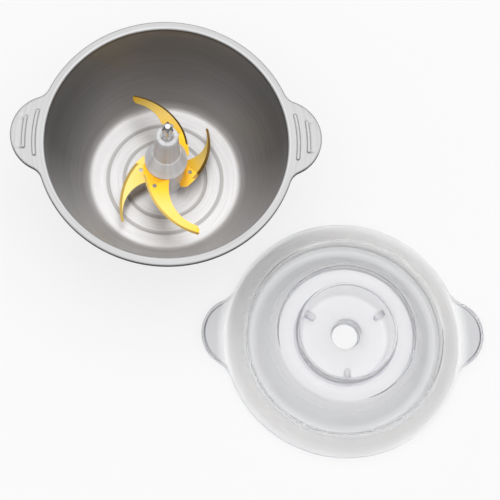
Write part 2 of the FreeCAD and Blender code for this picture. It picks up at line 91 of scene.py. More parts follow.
# Blade unit; the step of its turned pieces is in degrees
TURN_STEP = 2.5
SKIRT_Z = FLOOR_Z + 46.0 * MM
SHOULDER_Z = FLOOR_Z + 64.3 * MM
NECK_TOP = FLOOR_Z + 99.0 * MM
SKIRT_RADIUS = 17.3 * MM
SKIRT_TOP_RADIUS = 16.4 * MM
SKIRT_EDGE = 1.6 * MM
SHOULDER_RADIUS = 11.8 * MM
SHOULDER_WALL = 0.6 * MM
NECK_STEP = 0.6 * MM
NECK_BASE_RADIUS = 10.9 * MM
NECK_TOP_RADIUS = 8.6 * MM
NECK_COUNTERSINK = 5.4 * MM
HUB_WALL = 2.2 * MM
HUB_ROOF = SHOULDER_Z - 4.4 * MM
HUB_RIBS = 6
HUB_RIB = 1.4 * MM
CORE_RADIUS = 9.6 * MM
CORE_FLATS = 15.0 * MM
CORE_FOOT = FLOOR_Z + 11.0 * MM
SLEEVE_BORE = 5.75 * MM
SHAFT_BORE = 4.0 * MM
SHAFT_GAP = 0.1 * MM
SHAFT_FOOT_Z = FLOOR_Z + 64.0 * MM
SHAFT_HEX_FLATS = 10.0 * MM
SHAFT_HEX_HEIGHT = 8.0 * MM
STAR_TOP = FLOOR_Z + 118.5 * MM
STAR_RADIUS = 4.8 * MM
STAR_FLAT = 2.1 * MM
STAR_CONE = 2.7 * MM
STAR_COLLAR_RADIUS = 5.0 * MM
STAR_COLLAR_HEIGHT = 1.6 * MM
STAR_COLLAR_EDGE = 0.25 * MM
FLUTE_CENTRE = 5.5 * MM
FLUTE_RADIUS = 2.1 * MM
UPPER_EDGE = ((-18.4 * MM, -6.5 * MM), (-6.1 * MM, -40.0 * MM), (27.2 * MM, -61.0 * MM))
UPPER_BEVEL = 1.7 * MM
LOWER_EDGE = ((18.2 * MM, -12.9 * MM), (35.4 * MM, 12.5 * MM), (36.6 * MM, 41.3 * MM))
LOWER_BEVEL = 2.4 * MM
BROKEN_EDGE = 0.1 * MM

# Lid
LID_DISTANCE = 200.6 * MM
LID_BEARING = -43.0
LID_X = LID_DISTANCE * math.cos(math.radians(LID_BEARING))
LID_Y = LID_DISTANCE * math.sin(math.radians(LID_BEARING))
LID_Z = 6.8 * MM
LID_RADIUS = 97.5 * MM
LID_WALL = 2.0 * MM
LID_SKIRT = 4.5 * MM
LID_SKIRT_WALL = 1.6 * MM
LID_EDGE = 0.6 * MM
LID_EAR_REACH = 116.0 * MM
LID_EAR_RADIUS = 29.0 * MM
LID_EAR_BLEND = 25.0 * MM
LID_EAR_RIM = 3.0 * MM
LID_EAR_RIM_RISE = 0.7 * MM
BRIM_INNER = 90.6 * MM
BRIM_RISE = 2.0 * MM
CROWN_RADIUS = 80.8 * MM
CROWN_HALF = 1.4 * MM
CROWN_HEIGHT = 8.5 * MM
TROUGH_OUTER = 77.2 * MM
TROUGH_INNER = 71.9 * MM
TROUGH_DEPTH = 4.8 * MM
RIDGE_FOOT = (58.1 * MM, 13.5 * MM)
RIDGE_RADIUS = 56.6 * MM
PLATEAU = 20.5 * MM
COLLAR_FOOT = 40.9 * MM
COLLAR_RADIUS = 40.0 * MM
COLLAR_TOP = 27.5 * MM
WELL_TOP_RADIUS = 38.4 * MM
WELL_FLOOR_RADIUS = 35.5 * MM
WELL_FLOOR = 6.0 * MM
HOLE_RADIUS = 10.5 * MM
HOLE_LIP = 13.1 * MM
HOLE_LIP_HEIGHT = 1.0 * MM
LUG_COUNT = 3
LUG_BEARING = -89.0
LUG_TIP = 27.8 * MM
LUG_WIDTH = 5.0 * MM
LUG_TOP = 15.0 * MM
LUG_HEIGHT = 8.0 * MM
LUG_EDGE = 0.6 * MM
LUG_SINK = 0.03 * MM
SEAL_GAP = 0.5 * MM
SEAL_HEIGHT = 3.0 * MM
SEAL_STAND = 1.3 * MM
SEAL_BODY = 91.4 * MM
SEAL_LIP = 94.9 * MM

# Camera: where it looks, and how it stands to the bowl
AIM = (70.9 * MM, -61.3 * MM, FLOOR_Z)
CAMERA_DISTANCE = 1.2440
CAMERA_HEIGHT_ANGLE = 72.42
CAMERA_TURN = -13.44
CAMERA_ROLL = 13.62
LENS = 108.0
SENSOR_WIDTH = 36.0

# Worktop and lamp
WORKTOP_HALF = 3.0
SEEN_WHITE_SHARE = 0.72
LAMP_SIZE = 1.6
LAMP_POWER = 6.0
LAMP_PLACE = (0.05, 0.25, 1.9)
LAMP_AIM = (0.07, -0.06, 0.0)


def line_with_rounds(corners, step=0.5 * MM):
    """Points along a line through corners (r, z, radius), each corner rounded by an arc.

    An arc starts radius * tan(half the turn) before its corner, and its points are spaced
    evenly in angle, about one step apart."""
    points = [np.array([corners[0][:2]])]
    for i in range(1, len(corners) - 1):
        here = np.array(corners[i][:2])
        before = here - np.array(corners[i - 1][:2])
        after = np.array(corners[i + 1][:2]) - here
        before /= np.linalg.norm(before)
        after /= np.linalg.norm(after)
        radius = corners[i][2]
        turn = math.acos(max(-1.0, min(1.0, float(before @ after))))
        if radius <= 0 or turn < 1e-4:
            points.append(here[None, :])
            continue
        side = np.sign(before[0] * after[1] - before[1] * after[0])
        first = here - before * radius * math.tan(turn / 2)
        normal = np.array([-before[1], before[0]]) * side
        count = max(3, int(radius * turn / step) + 2)
        angles = np.linspace(0.0, turn, count)[:, None]
        points.append(first + normal * radius * (1 - np.cos(angles))
                      + before * radius * np.sin(angles))
    points.append(np.array([corners[-1][:2]]))
    return np.vstack(points)


def moved_left(corners, distance):
    """The same corners moved to the left of the line by a distance, rounds kept concentric."""
    xy = np.array([c[:2] for c in corners])
    along = np.diff(xy, axis=0)
    along /= np.linalg.norm(along, axis=1)[:, None]
    normals = np.stack([-along[:, 1], along[:, 0]], axis=1)
    first = np.vstack([normals[:1], normals])
    second = np.vstack([normals, normals[-1:]])
    shift = (first + second) * (distance / (1 + np.sum(first * second, axis=1)))[:, None]
    side = first[:, 0] * second[:, 1] - first[:, 1] * second[:, 0]
    radii = np.array([c[2] for c in corners])
    rounds = np.where(radii > 0, np.maximum(radii - np.sign(side) * distance, 0.0), 0.0)
    return [(p[0], p[1], r) for p, r in zip(xy + shift, rounds)]


def placed(name, data):
    """Object of a mesh, a lamp or a camera, at the origin of the scene."""
    piece = bpy.data.objects.new(name, data)
    bpy.context.scene.collection.objects.link(piece)
    return piece


def cleaned(mesh, distance=None, dissolve=None):
    """Merge points of a mesh that are closer than a distance, then dissolve the edges that
    are flatter than an angle or, where none is given, turn the faces outwards."""
    cleaner = bmesh.new()
    cleaner.from_mesh(mesh)
    if distance:
        bmesh.ops.remove_doubles(cleaner, verts=cleaner.verts, dist=distance)
    if dissolve:
        bmesh.ops.dissolve_limit(cleaner, angle_limit=dissolve,
                                 verts=cleaner.verts, edges=cleaner.edges)
    else:
        bmesh.ops.recalc_face_normals(cleaner, faces=cleaner.faces)
    cleaner.to_mesh(mesh)
    cleaner.free()


def grid_mesh(name, points, closed=True):
    """Smooth mesh object of a grid of points (rows, columns, 3), each row a ring.

    Closed joins the last row to the first as well."""
    rows, columns = points.shape[:2]
    index = np.arange(rows * columns).reshape(rows, columns)
    down = index if closed else index[:-1]
    below = np.roll(index, -1, axis=0) if closed else index[1:]
    faces = np.stack([down, np.roll(down, -1, axis=1),
                      np.roll(below, -1, axis=1), below], axis=-1)
    mesh = bpy.data.meshes.new(name)
    mesh.from_pydata(points.reshape(-1, 3), [], faces.reshape(-1, 4))
    cleaned(mesh, distance=1e-7)
    mesh.polygons.foreach_set("use_smooth", np.ones(len(mesh.polygons), dtype=bool))
    mesh.update()
    return placed(name, mesh)


def turned_rows(name, turn, rows, closed=True, centre=(0.0, 0.0, 0.0)):
    """Surface of rows (radius at each turn, z) about a centre: x = r cos t, y = r sin t."""
    ring = np.ones_like(turn)
    points = [np.stack([r * np.cos(turn), r * np.sin(turn), z * ring], axis=-1) for r, z in rows]
    return grid_mesh(name, np.array(points) + np.array(centre), closed)


def eared_outline(radius, reach, ear, blend, back, step, ear_step):
    """Points, outward normals and ear share of a circle with an ear at each end of X.

    Each ear is an arc about (reach - ear, back). Concave arcs of the blend radius touch the
    circle and the ear; every arc is centre + radius * (cos t, sin t). The ear share is 1 on
    the ears and 0 elsewhere."""
    centre = np.array([reach - ear, back])
    distance = np.linalg.norm(centre)
    out = centre / distance
    along = ((radius + blend) ** 2 - (ear + blend) ** 2 + distance ** 2) / (2 * distance)
    across = math.sqrt((radius + blend) ** 2 - along ** 2)
    sideways = np.array([-out[1], out[0]])
    front = out * along - sideways * across
    rear = out * along + sideways * across

    def arc(middle, size, start, end, spacing):
        count = max(4, int(abs(end - start) * size / spacing))
        t = np.linspace(start, end, count, endpoint=False)
        normal = np.stack([np.cos(t), np.sin(t)], axis=1)
        return middle + size * normal, normal * (1 if end > start else -1)

    def angle(v):
        return math.atan2(v[1], v[0])

    rear_end = angle(-rear)
    if rear_end > 0:
        rear_end -= 2 * math.pi
    arcs = [
        arc(np.zeros(2), radius, -math.pi / 2, angle(front), step),
        arc(front, blend, angle(-front), angle(centre - front), ear_step),
        arc(centre, ear, angle(front - centre), angle(rear - centre), ear_step),
        arc(rear, blend, angle(centre - rear), rear_end, ear_step),
        arc(np.zeros(2), radius, angle(rear), math.pi / 2, step),
    ]
    points = np.vstack([p for p, n in arcs])
    normals = np.vstack([n for p, n in arcs])
    on_ear = np.concatenate([np.full(len(p), float(i == 2)) for i, (p, n) in enumerate(arcs)])
    mirror = np.array([-1.0, 1.0])
    points = np.vstack([points, [[0.0, radius]], (points * mirror)[::-1]])[:-1]
    normals = np.vstack([normals, [[0.0, 1.0]], (normals * mirror)[::-1]])[:-1]
    on_ear = np.concatenate([on_ear, [0.0], on_ear[::-1]])[:-1]
    return points, normals, on_ear


def finger_groove_depth(x, y):
    """Depth of the pressed grooves at a place: depth * (1 - t^4)^2, where t is the distance
    from the groove's middle arc, or beyond its end from that end, over half the width."""
    bearing = math.atan2(EAR_BACK, EAR_REACH - EAR_RADIUS)
    depth = np.zeros_like(x)
    for radius, half_angle in FINGER_GROOVES:
        half = math.radians(half_angle)
        angle = np.arctan2(y, np.abs(x)) - bearing
        nearest = np.clip(angle, -half, half) + bearing
        away = np.hypot(np.abs(x) - radius * np.cos(nearest), y - radius * np.sin(nearest))
        t = np.clip(2 * away / FINGER_GROOVE_WIDTH, 0, 1)
        depth = np.maximum(depth, FINGER_GROOVE_DEPTH * (1 - t ** 4) ** 2)
    return depth


def outline_surface(name, outline, rows, centre, sink=None):
    """Closed surface of rows (r, z, share, inset, ear_inset, ear_rise, sunk) about one outline.

    A point is (1 - share) * r * direction + share * (outline - inset * normal), so share 0
    gives a circle and share 1 the outline moved inwards along its own normal. On the ears the
    inset grows by ear_inset and the height by ear_rise; sink(x, y) lowers the sunk rows."""
    points, normals, on_ear = outline
    direction = points / np.linalg.norm(points, axis=1)[:, None]
    r, z, share, inset, ear_inset, ear_rise, sunk = (rows[:, k][:, None] for k in range(7))
    inset = (inset + ear_inset * on_ear[None])[..., None]
    flat = (1 - share[..., None]) * r[..., None] * direction[None]
    flat = flat + share[..., None] * (points[None] - inset * normals[None])
    height = z + ear_rise * on_ear[None]
    if sink is not None:
        height = height - sunk * sink(flat[..., 0], flat[..., 1])
    return grid_mesh(name, np.concatenate([flat, height[..., None]], axis=2) + np.array(centre))


def round_rows(profile):
    """Rows of a profile (r, z) that stays round: share and inset are 0."""
    return np.hstack([profile, np.zeros((len(profile), 5))])


def edge_rows(offsets, ear_inset=0.0, ear_rise=0.0):
    """Rows that follow the outline: offsets is an array of (inset, z)."""
    rows = np.zeros((len(offsets), 7))
    rows[:, 1] = offsets[:, 1]
    rows[:, 2] = 1.0
    rows[:, 3] = offsets[:, 0]
    rows[:, 4] = ear_inset
    rows[:, 5] = ear_rise
    return rows


def fan(start, end, shares, ear_inset=0.0, sunk=0.0):
    """Rows between a ring (r, z) and the outline (inset, z) at the given shares."""
    rows = np.zeros((len(shares), 7))
    rows[:, 0] = start[0]
    rows[:, 1] = start[1] + (end[1] - start[1]) * shares
    rows[:, 2] = shares
    rows[:, 3] = end[0]
    rows[:, 4] = ear_inset
    rows[:, 6] = sunk
    return rows


def wall_corner():
    """Corner where the tangents of the bowl wall's foot and head meet, and its arc's radius."""
    a = math.radians(WALL_FOOT_ANGLE)
    b = math.radians(WALL_TOP_ANGLE)
    dx = MOUTH_RADIUS - FLOOR_RADIUS
    dz = FLANGE_TOP - FOOT_TOP
    reach = (dx * math.sin(b) - dz * math.cos(b)) / math.sin(b - a)
    radius = WALL_ROUND_SHARE * reach / math.tan((b - a) / 2)
    return FLOOR_RADIUS + reach * math.cos(a), FOOT_TOP + reach * math.sin(a), radius


def bowl_line(inside):
    """Line of the bowl from the stud's hole to the flat of the flange.

    Inside, the floor runs flat and soft into the wall; the line of the outside has the
    standing ring that the base ring sits on."""
    line = [(STUD_HOLE, BOSS_TOP, 0), (BOSS_RADIUS, BOSS_TOP, BOSS_ROUND),
            (BOSS_RADIUS + BOSS_SKIRT, FLOOR_Z, BOSS_ROUND)]
    for radius in GROOVES:
        line += [(radius - GROOVE_HALF, FLOOR_Z, GROOVE_ROUND),
                 (radius - GROOVE_HALF / 3, FLOOR_Z - GROOVE_DEPTH, GROOVE_ROUND),
                 (radius + GROOVE_HALF / 3, FLOOR_Z - GROOVE_DEPTH, GROOVE_ROUND),
                 (radius + GROOVE_HALF, FLOOR_Z, GROOVE_ROUND)]
    if inside:
        rise = (FLOOR_Z - FOOT_TOP) / math.tan(math.radians(WALL_FOOT_ANGLE))
        line.append((FLOOR_RADIUS + rise, FLOOR_Z, FLOOR_SOFT_ROUND))
    else:
        line += [(STANDING_RING - STANDING_SLOPE, FLOOR_Z, STANDING_ROUND),
                 (STANDING_RING, FOOT_TOP, STANDING_ROUND),
                 (FLOOR_RADIUS, FOOT_TOP, FLOOR_ROUND)]
    line += [wall_corner(), (MOUTH_RADIUS, FLANGE_TOP, MOUTH_ROUND),
             (MOUTH_RADIUS + MOUTH_ROUND + FLANGE_START, FLANGE_TOP, 0)]
    return line


def make_bowl():
    """Pressed bowl, eared flange with finger grooves and turned-down lip as one closed sheet.

    Its rows run from the stud's hole up the inside, over the flange, round the lip's edge and
    back down the outside; on the flange they go over from the round mouth to the outline."""
    inside_step, outside_step, ear_step = 2.2 * MM, 6.0 * MM, 0.85 * MM
    inner = line_with_rounds(bowl_line(True), inside_step)
    outer = line_with_rounds(moved_left(bowl_line(False), -SHEET), outside_step)[::-1]
    outline = eared_outline(FLANGE_RADIUS, EAR_REACH, EAR_RADIUS, EAR_BLEND, EAR_BACK,
                            inside_step, ear_step)
    t = np.linspace(0.0, math.pi / 2, 6)
    over = np.stack([LIP_ROUND * (1 - np.sin(t)),
                     FLANGE_TOP - LIP_ROUND * (1 - np.cos(t))], axis=1)[::-1]
    low = FLANGE_TOP - LIP_DROP
    foot = np.array([[0.0, low + LIP_EDGE], [LIP_EDGE, low],
                     [SHEET - LIP_EDGE, low], [SHEET, low + LIP_EDGE]])
    bend = LIP_ROUND - SHEET
    under = np.stack([SHEET + bend * (1 - np.cos(t)),
                      FLANGE_TOP - LIP_ROUND + bend * np.sin(t)], axis=1)
    above = np.concatenate([[0.07], np.linspace(0.14, 0.72, 40), [0.86]])
    below = np.concatenate([np.linspace(0.12, 0.74, 22), [0.88]])
    rows = np.vstack([
        round_rows(inner),
        fan(inner[-1], over[-1], above, sunk=1.0),
        edge_rows(over[::-1]), edge_rows(foot), edge_rows(under),
        fan(outer[0], under[-1], below[::-1], sunk=1.0),
        round_rows(outer),
    ])
    return outline_surface("steel_bowl", outline, rows, (0, 0, 0), finger_groove_depth)


def well_radius(z):
    """Radius of the well's drafted wall, which grows evenly from its floor to the collar."""
    share = (z - WELL_FLOOR) / (COLLAR_TOP - WELL_FLOOR)
    return WELL_FLOOR_RADIUS + share * (WELL_TOP_RADIUS - WELL_FLOOR_RADIUS)


def make_lid():
    """Clear lid as one closed wall: skirt, brim, crown, trough, ridge, plateau, collar, well.

    Its rows run up the skirt along the outline, in over the brim to the round profile of the
    top and down to the hole, then back out along the same profile moved in by the wall."""
    outline_step, ear_step, top_step, under_step = 1.6 * MM, 0.9 * MM, 0.6 * MM, 0.8 * MM
    sharp, edge = 0.3 * MM, LID_EDGE
    outline = eared_outline(LID_RADIUS, LID_EAR_REACH, LID_EAR_RADIUS, LID_EAR_BLEND, EAR_BACK,
                            outline_step, ear_step)
    upper = [
        (LID_RADIUS - LID_SKIRT_WALL, 0, 0), (BRIM_INNER, BRIM_RISE, 8 * MM),
        (CROWN_RADIUS + CROWN_HALF, CROWN_HEIGHT, 2.4 * MM),
        (CROWN_RADIUS - CROWN_HALF, CROWN_HEIGHT, 0.9 * MM),
        (TROUGH_OUTER, -TROUGH_DEPTH, 2.0 * MM), (TROUGH_INNER, -TROUGH_DEPTH, 6 * MM),
        (RIDGE_FOOT[0], RIDGE_FOOT[1], 1.2 * MM), (RIDGE_RADIUS, PLATEAU, 1.6 * MM),
        (COLLAR_FOOT, PLATEAU, 0.5 * MM), (COLLAR_RADIUS, COLLAR_TOP, 0.5 * MM),
        (WELL_TOP_RADIUS, COLLAR_TOP, 0.5 * MM), (WELL_FLOOR_RADIUS, WELL_FLOOR, 2.4 * MM),
        (HOLE_LIP, WELL_FLOOR, sharp), (HOLE_LIP - 0.2 * MM, WELL_FLOOR + HOLE_LIP_HEIGHT, sharp),
        (HOLE_RADIUS, WELL_FLOOR + HOLE_LIP_HEIGHT, sharp), (HOLE_RADIUS, WELL_FLOOR, 0),
    ]
    top = line_with_rounds(upper, top_step)
    plain = upper[:8] + [(well_radius(PLATEAU), PLATEAU, 0), upper[11],
                         (HOLE_RADIUS, WELL_FLOOR, 0)]
    under = line_with_rounds(moved_left(plain, LID_WALL), under_step)[::-1]
    under[0, 0] = HOLE_RADIUS
    t = np.linspace(0.0, math.pi / 2, 5)
    over = np.stack([edge * (1 - np.sin(t)), -edge * (1 - np.cos(t))], axis=1)
    low = -LID_SKIRT
    foot = np.array([[0.0, low + sharp], [sharp, low], [LID_SKIRT_WALL - sharp, low],
                     [LID_SKIRT_WALL, low + sharp], [LID_SKIRT_WALL, -LID_WALL]])
    shares = np.linspace(0.12, 0.88, 6)
    rim = LID_EAR_RIM - edge
    rise = LID_EAR_RIM_RISE
    crest = np.array([[edge + 0.1 * MM, 0.0]])
    rows = np.vstack([
        edge_rows(foot[::-1]), edge_rows(over[::-1], ear_rise=rise),
        edge_rows(crest, ear_rise=rise), edge_rows(crest, rim - 0.5 * MM, rise),
        edge_rows(crest, rim - 0.1 * MM, 0.4 * rise), edge_rows(crest, rim),
        edge_rows(crest, rim + 0.2 * MM),
        fan(top[0], crest[0], shares[::-1], rim + 0.2 * MM),
        round_rows(top), round_rows(under),
        fan(under[-1], (LID_SKIRT_WALL + 0.2 * MM, -LID_WALL), shares),
    ])
    return outline_surface("clear_lid", outline, rows, (LID_X, LID_Y, LID_Z))


def make_lug(number, bearing):
    """Upright lug: a slot's outline that ends on the well's wall, closed over its middle line.

    A point is (1 - share) * (outline - inset * normal) + share * middle line, turned about the
    lid's axis by the bearing."""
    half = LUG_WIDTH / 2
    tip = LUG_TIP + half
    tail = well_radius(LUG_TOP)
    foot = LUG_TOP - LUG_HEIGHT
    t = np.linspace(math.pi / 2, 3 * math.pi / 2, 25)
    nose = np.stack([tip + half * np.cos(t), half * np.sin(t)], axis=1)
    normals = np.vstack([np.stack([np.cos(t), np.sin(t)], axis=1), [[1.0, -1.0], [1.0, 1.0]]])
    points = np.vstack([nose, [[tail, -half], [tail, half]]])
    spine = points.copy()
    spine[:, 1] = 0.0
    s = np.linspace(0.0, math.pi / 2, 5)
    rows = [(1.0, 0.0, foot), (0.0, 0.0, foot)]
    rows += [(0.0, LUG_EDGE * (1 - math.cos(a)), LUG_TOP - LUG_EDGE * (1 - math.sin(a)))
             for a in s]
    rows.append((1.0, 0.0, LUG_TOP))
    rings = []
    for share, inset, z in rows:
        flat = (1 - share) * (points - inset * normals) + share * spine
        rings.append(np.column_stack([flat, np.full(len(flat), z)]))
    grid = np.array(rings)
    grid[:, -2:, 0] = well_radius(grid[:, -2:, 2]) + LUG_SINK
    a = math.radians(bearing)
    turned = np.stack([grid[..., 0] * math.cos(a) - grid[..., 1] * math.sin(a) + LID_X,
                       grid[..., 0] * math.sin(a) + grid[..., 1] * math.cos(a) + LID_Y,
                       grid[..., 2] + LID_Z], axis=-1)
    return grid_mesh("lid_lug_%d" % number, turned, closed=False)


def make_seal():
    """Frosted ring round the lid's plug, with a thin lip: its section turned about the lid."""
    top = BRIM_RISE - LID_WALL - SEAL_GAP
    low = top - SEAL_HEIGHT
    inner = TROUGH_OUTER + LID_WALL + SEAL_STAND
    ring = line_with_rounds([
        (inner, top - 1.5 * MM, 0), (inner, low, 0.4 * MM), (SEAL_BODY, low, 0.4 * MM),
        (SEAL_LIP, low - 0.4 * MM, 0.2 * MM), (SEAL_LIP, low + 0.5 * MM, 0.2 * MM),
        (SEAL_BODY, low + 1.3 * MM, 0.6 * MM), (SEAL_BODY, top, 0.5 * MM),
        (inner, top, 0.5 * MM), (inner, top - 1.4 * MM, 0)])
    turn = np.linspace(0.0, 2 * math.pi, 360, endpoint=False)
    return turned_rows("lid_seal_ring", turn, ring, centre=(LID_X, LID_Y, LID_Z))


def hexagon_radius(turn, flats):
    """Radius of a hexagon with its first corner on X: half its flats / cos(angle from a flat)."""
    return flats / 2 / np.cos(turn % (math.pi / 3) - math.pi / 6)


def make_hub():
    """Neck and skirt with soft rounds, hollow under the skirt, on a core with two flats.

    It is a section turned about Z. The core's radius is the smaller of its round and half its
    flats / |cos t|. Its bore widens to a hexagon for the shaft's foot."""
    skirt_head = SKIRT_Z + 2 * SKIRT_EDGE
    outside = line_with_rounds([
        (SHAFT_BORE, NECK_TOP - 20 * MM, 0), (SHAFT_BORE, NECK_TOP - 0.6 * MM, 0.4 * MM),
        (NECK_COUNTERSINK, NECK_TOP, 0.3 * MM), (NECK_TOP_RADIUS, NECK_TOP, 1.6 * MM),
        (NECK_BASE_RADIUS, SHOULDER_Z + NECK_STEP, 0.8 * MM),
        (SHOULDER_RADIUS, SHOULDER_Z, 1.0 * MM), (SKIRT_TOP_RADIUS, skirt_head, 3.0 * MM),
        (SKIRT_RADIUS, SKIRT_Z + SKIRT_EDGE, 0.6 * MM), (SKIRT_RADIUS, SKIRT_Z, 0.4 * MM),
        (SKIRT_RADIUS - HUB_WALL, SKIRT_Z, 0.3 * MM),
        (SKIRT_TOP_RADIUS - HUB_WALL, skirt_head, 0.6 * MM),
        (SHOULDER_RADIUS - SHOULDER_WALL, HUB_ROOF, 0.6 * MM),
        (CORE_RADIUS, HUB_ROOF, 0.4 * MM), (CORE_RADIUS, SKIRT_Z, 0)], 0.35 * MM)
    turn = np.radians(np.arange(0.0, 360.0, TURN_STEP))
    ring = np.ones_like(turn)
    flats = CORE_FLATS / 2 / np.maximum(np.abs(np.cos(turn)), 1e-6)
    core = np.minimum(CORE_RADIUS, flats)
    core_edge = 0.3 * MM
    pocket = hexagon_radius(turn, SHAFT_HEX_FLATS + SHAFT_GAP)
    top = SHAFT_FOOT_Z + SHAFT_HEX_HEIGHT
    rows = [(r * ring, z) for r, z in outside]
    rows += [(core, SKIRT_Z), (core, CORE_FOOT + core_edge), (core - core_edge, CORE_FOOT),
             (SLEEVE_BORE * ring, CORE_FOOT), (SLEEVE_BORE * ring, SHAFT_FOOT_Z),
             (pocket, SHAFT_FOOT_Z), (pocket, top), (SHAFT_BORE * ring, top)]
    hub = turned_rows("blade_hub_neck", turn, rows)
    hub.data.set_sharp_from_angle(angle=math.radians(40))
    return hub


def make_hub_ribs():
    """Flat ribs between core and skirt: the hollow's section with a thickness, turned about Z.

    A point is (r cos a - s sin a, r sin a + s cos a, z), with s half a rib to either side."""
    low = SKIRT_Z + 0.05 * MM
    grow = 0.3 * MM
    section = np.array([
        (CORE_RADIUS - grow, low), (SKIRT_RADIUS - HUB_WALL + grow, low),
        (SKIRT_TOP_RADIUS - HUB_WALL + grow, SKIRT_Z + 2 * SKIRT_EDGE),
        (SHOULDER_RADIUS - SHOULDER_WALL + grow, HUB_ROOF + grow),
        (CORE_RADIUS - grow, HUB_ROOF + grow)])
    count = len(section)
    a = np.linspace(0.0, 2 * math.pi, HUB_RIBS, endpoint=False)[:, None, None]
    s = np.array([-HUB_RIB / 2, HUB_RIB / 2])[None, :, None]
    r, z = section[:, 0][None, None], section[:, 1][None, None]
    points = np.stack([r * np.cos(a) - s * np.sin(a), r * np.sin(a) + s * np.cos(a),
                       z + 0 * a + 0 * s], axis=-1)
    index = np.arange(HUB_RIBS * 2 * count).reshape(HUB_RIBS, 2, count)
    after = np.roll(index, -1, axis=2)
    sides = np.stack([after[:, 0], index[:, 0], index[:, 1], after[:, 1]], axis=-1)
    ends = np.concatenate([index[:, 0], index[:, 1, ::-1]])
    mesh = bpy.data.meshes.new("blade_hub_ribs")
    mesh.from_pydata(points.reshape(-1, 3), [], ends.tolist() + sides.reshape(-1, 4).tolist())
    cleaned(mesh)
    return placed("blade_hub_ribs", mesh)


def make_star():
    """Shaft with a hexagon foot, a round collar and a six-lobed head under a cone.

    Seen from above, the head's radius is that of the star or, in a flute, the first crossing
    of the ray with the flute's circle: c cos a - sqrt(f^2 - (c sin a)^2), with a counted from
    the flute."""
    turn = np.radians(np.arange(0.0, 360.0, TURN_STEP))
    off = (turn + math.pi / 6) % (math.pi / 3) - math.pi / 6
    under_root = FLUTE_RADIUS ** 2 - (FLUTE_CENTRE * np.sin(off)) ** 2
    crossing = FLUTE_CENTRE * np.cos(off) - np.sqrt(np.maximum(under_root, 0.0))
    lobes = np.where(under_root > 0, np.minimum(crossing, STAR_RADIUS), STAR_RADIUS)
    hexagon = hexagon_radius(turn, SHAFT_HEX_FLATS)
    ring = np.ones_like(turn)
    shaft = (SHAFT_BORE - SHAFT_GAP) * ring
    collar = STAR_COLLAR_RADIUS * ring
    hexagon_top = SHAFT_FOOT_Z + SHAFT_HEX_HEIGHT - SHAFT_GAP / 2
    collar_top = NECK_TOP + STAR_COLLAR_HEIGHT
    rows = [(0 * ring, SHAFT_FOOT_Z), (hexagon, SHAFT_FOOT_Z), (hexagon, hexagon_top),
            (shaft, hexagon_top), (shaft, NECK_TOP), (collar, NECK_TOP),
            (collar, collar_top - STAR_COLLAR_EDGE), (collar - STAR_COLLAR_EDGE, collar_top),
            (lobes, collar_top)]
    rows += [(np.minimum(lobes, STAR_FLAT + drop), STAR_TOP - drop)
             for drop in np.linspace(STAR_CONE, 0.0, 10)]
    rows.append((0 * ring, STAR_TOP))
    star = turned_rows("drive_star_polished", turn, rows, closed=False)
    star.data.set_sharp_from_angle(angle=math.radians(25))
    return star


def rounded_copy(node, name, width):
    """A copy of a solid with its doubled points merged and its sharp edges slightly broken."""
    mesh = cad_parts[node].data.copy()
    mesh.name = name
    cleaned(mesh, distance=1e-6, dissolve=math.radians(1.0))
    mesh.polygons.foreach_set("use_smooth", np.ones(len(mesh.polygons), dtype=bool))
    mesh.set_sharp_from_angle(angle=math.radians(18))
    piece = placed(name, mesh)
    bevel = piece.modifiers.new("broken_edges", "BEVEL")
    bevel.width = width
    bevel.segments = 2
    bevel.limit_method = "ANGLE"
    bevel.angle_limit = math.radians(25)
    bevel.harden_normals = True
    return piece


def circle_through(a, b, c):
    """Centre and radius of the circle through three points, from their two middle normals."""
    rows = 2 * np.array([np.subtract(b, a), np.subtract(c, a)])
    centre = np.linalg.solve(rows, [np.dot(b, b) - np.dot(a, a), np.dot(c, c) - np.dot(a, a)])
    return centre, float(np.hypot(*(centre - np.array(a))))


def paint_blades(piece, edge, bevel, finishes_with_painted_shade):
    """Give the top, the ground bevel and the underside of a pair of blades their own material;
    those of the bevel and the underside carry painted light and shade.

    A face is bevel where it looks up, but not straight up, and lies within the bevel's width
    inside the cutting edge's circle, or that circle turned half way round; it is underside
    where it looks down."""
    mesh = piece.data
    normals = np.empty(len(mesh.polygons) * 3)
    centres = np.empty(len(mesh.polygons) * 3)
    mesh.polygons.foreach_get("normal", normals)
    mesh.polygons.foreach_get("center", centres)
    upward = normals.reshape(-1, 3)[:, 2]
    x, y = centres.reshape(-1, 3)[:, :2].T
    middle, radius = circle_through(*edge)
    slot = np.where(upward < -0.3, 2, 0)
    for side in (1, -1):
        inward = radius - np.hypot(x - side * middle[0], y - side * middle[1])
        near = (inward > -1.5 * MM) & (inward < bevel)
        slot = np.where(near & (upward > 0.3) & (upward < 0.965), 1, slot)
    mesh.materials.clear()
    for finish in finishes_with_painted_shade:
        mesh.materials.append(finish)
    mesh.polygons.foreach_set("material_index", slot.astype(np.int32))
    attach(piece, "blade_unit")


def material(name):
    """New node material with its Principled shader, node tree and a Texture Coordinate node."""
    made = bpy.data.materials.new(name)
    made.use_nodes = True
    tree = made.node_tree
    shader = tree.nodes["Principled BSDF"]
    place = tree.nodes.new("ShaderNodeTexCoord")
    return made, tree, shader, place


def feed(tree, node, inputs):
    """Set inputs of a node, given as values or as sockets to link from."""
    for key, value in inputs.items():
        if isinstance(value, bpy.types.NodeSocket):
            tree.links.new(value, node.inputs[key])
        else:
            node.inputs[key].default_value = value


def linked(tree, kind, inputs=None, **settings):
    """New node with settings and inputs."""
    node = tree.nodes.new(kind)
    for key, value in settings.items():
        setattr(node, key, value)
    feed(tree, node, inputs or {})
    return node


def maths(tree, operation, *values):
    """Socket of a sum on values or sockets."""
    return linked(tree, "ShaderNodeMath", dict(enumerate(values)), operation=operation).outputs[0]


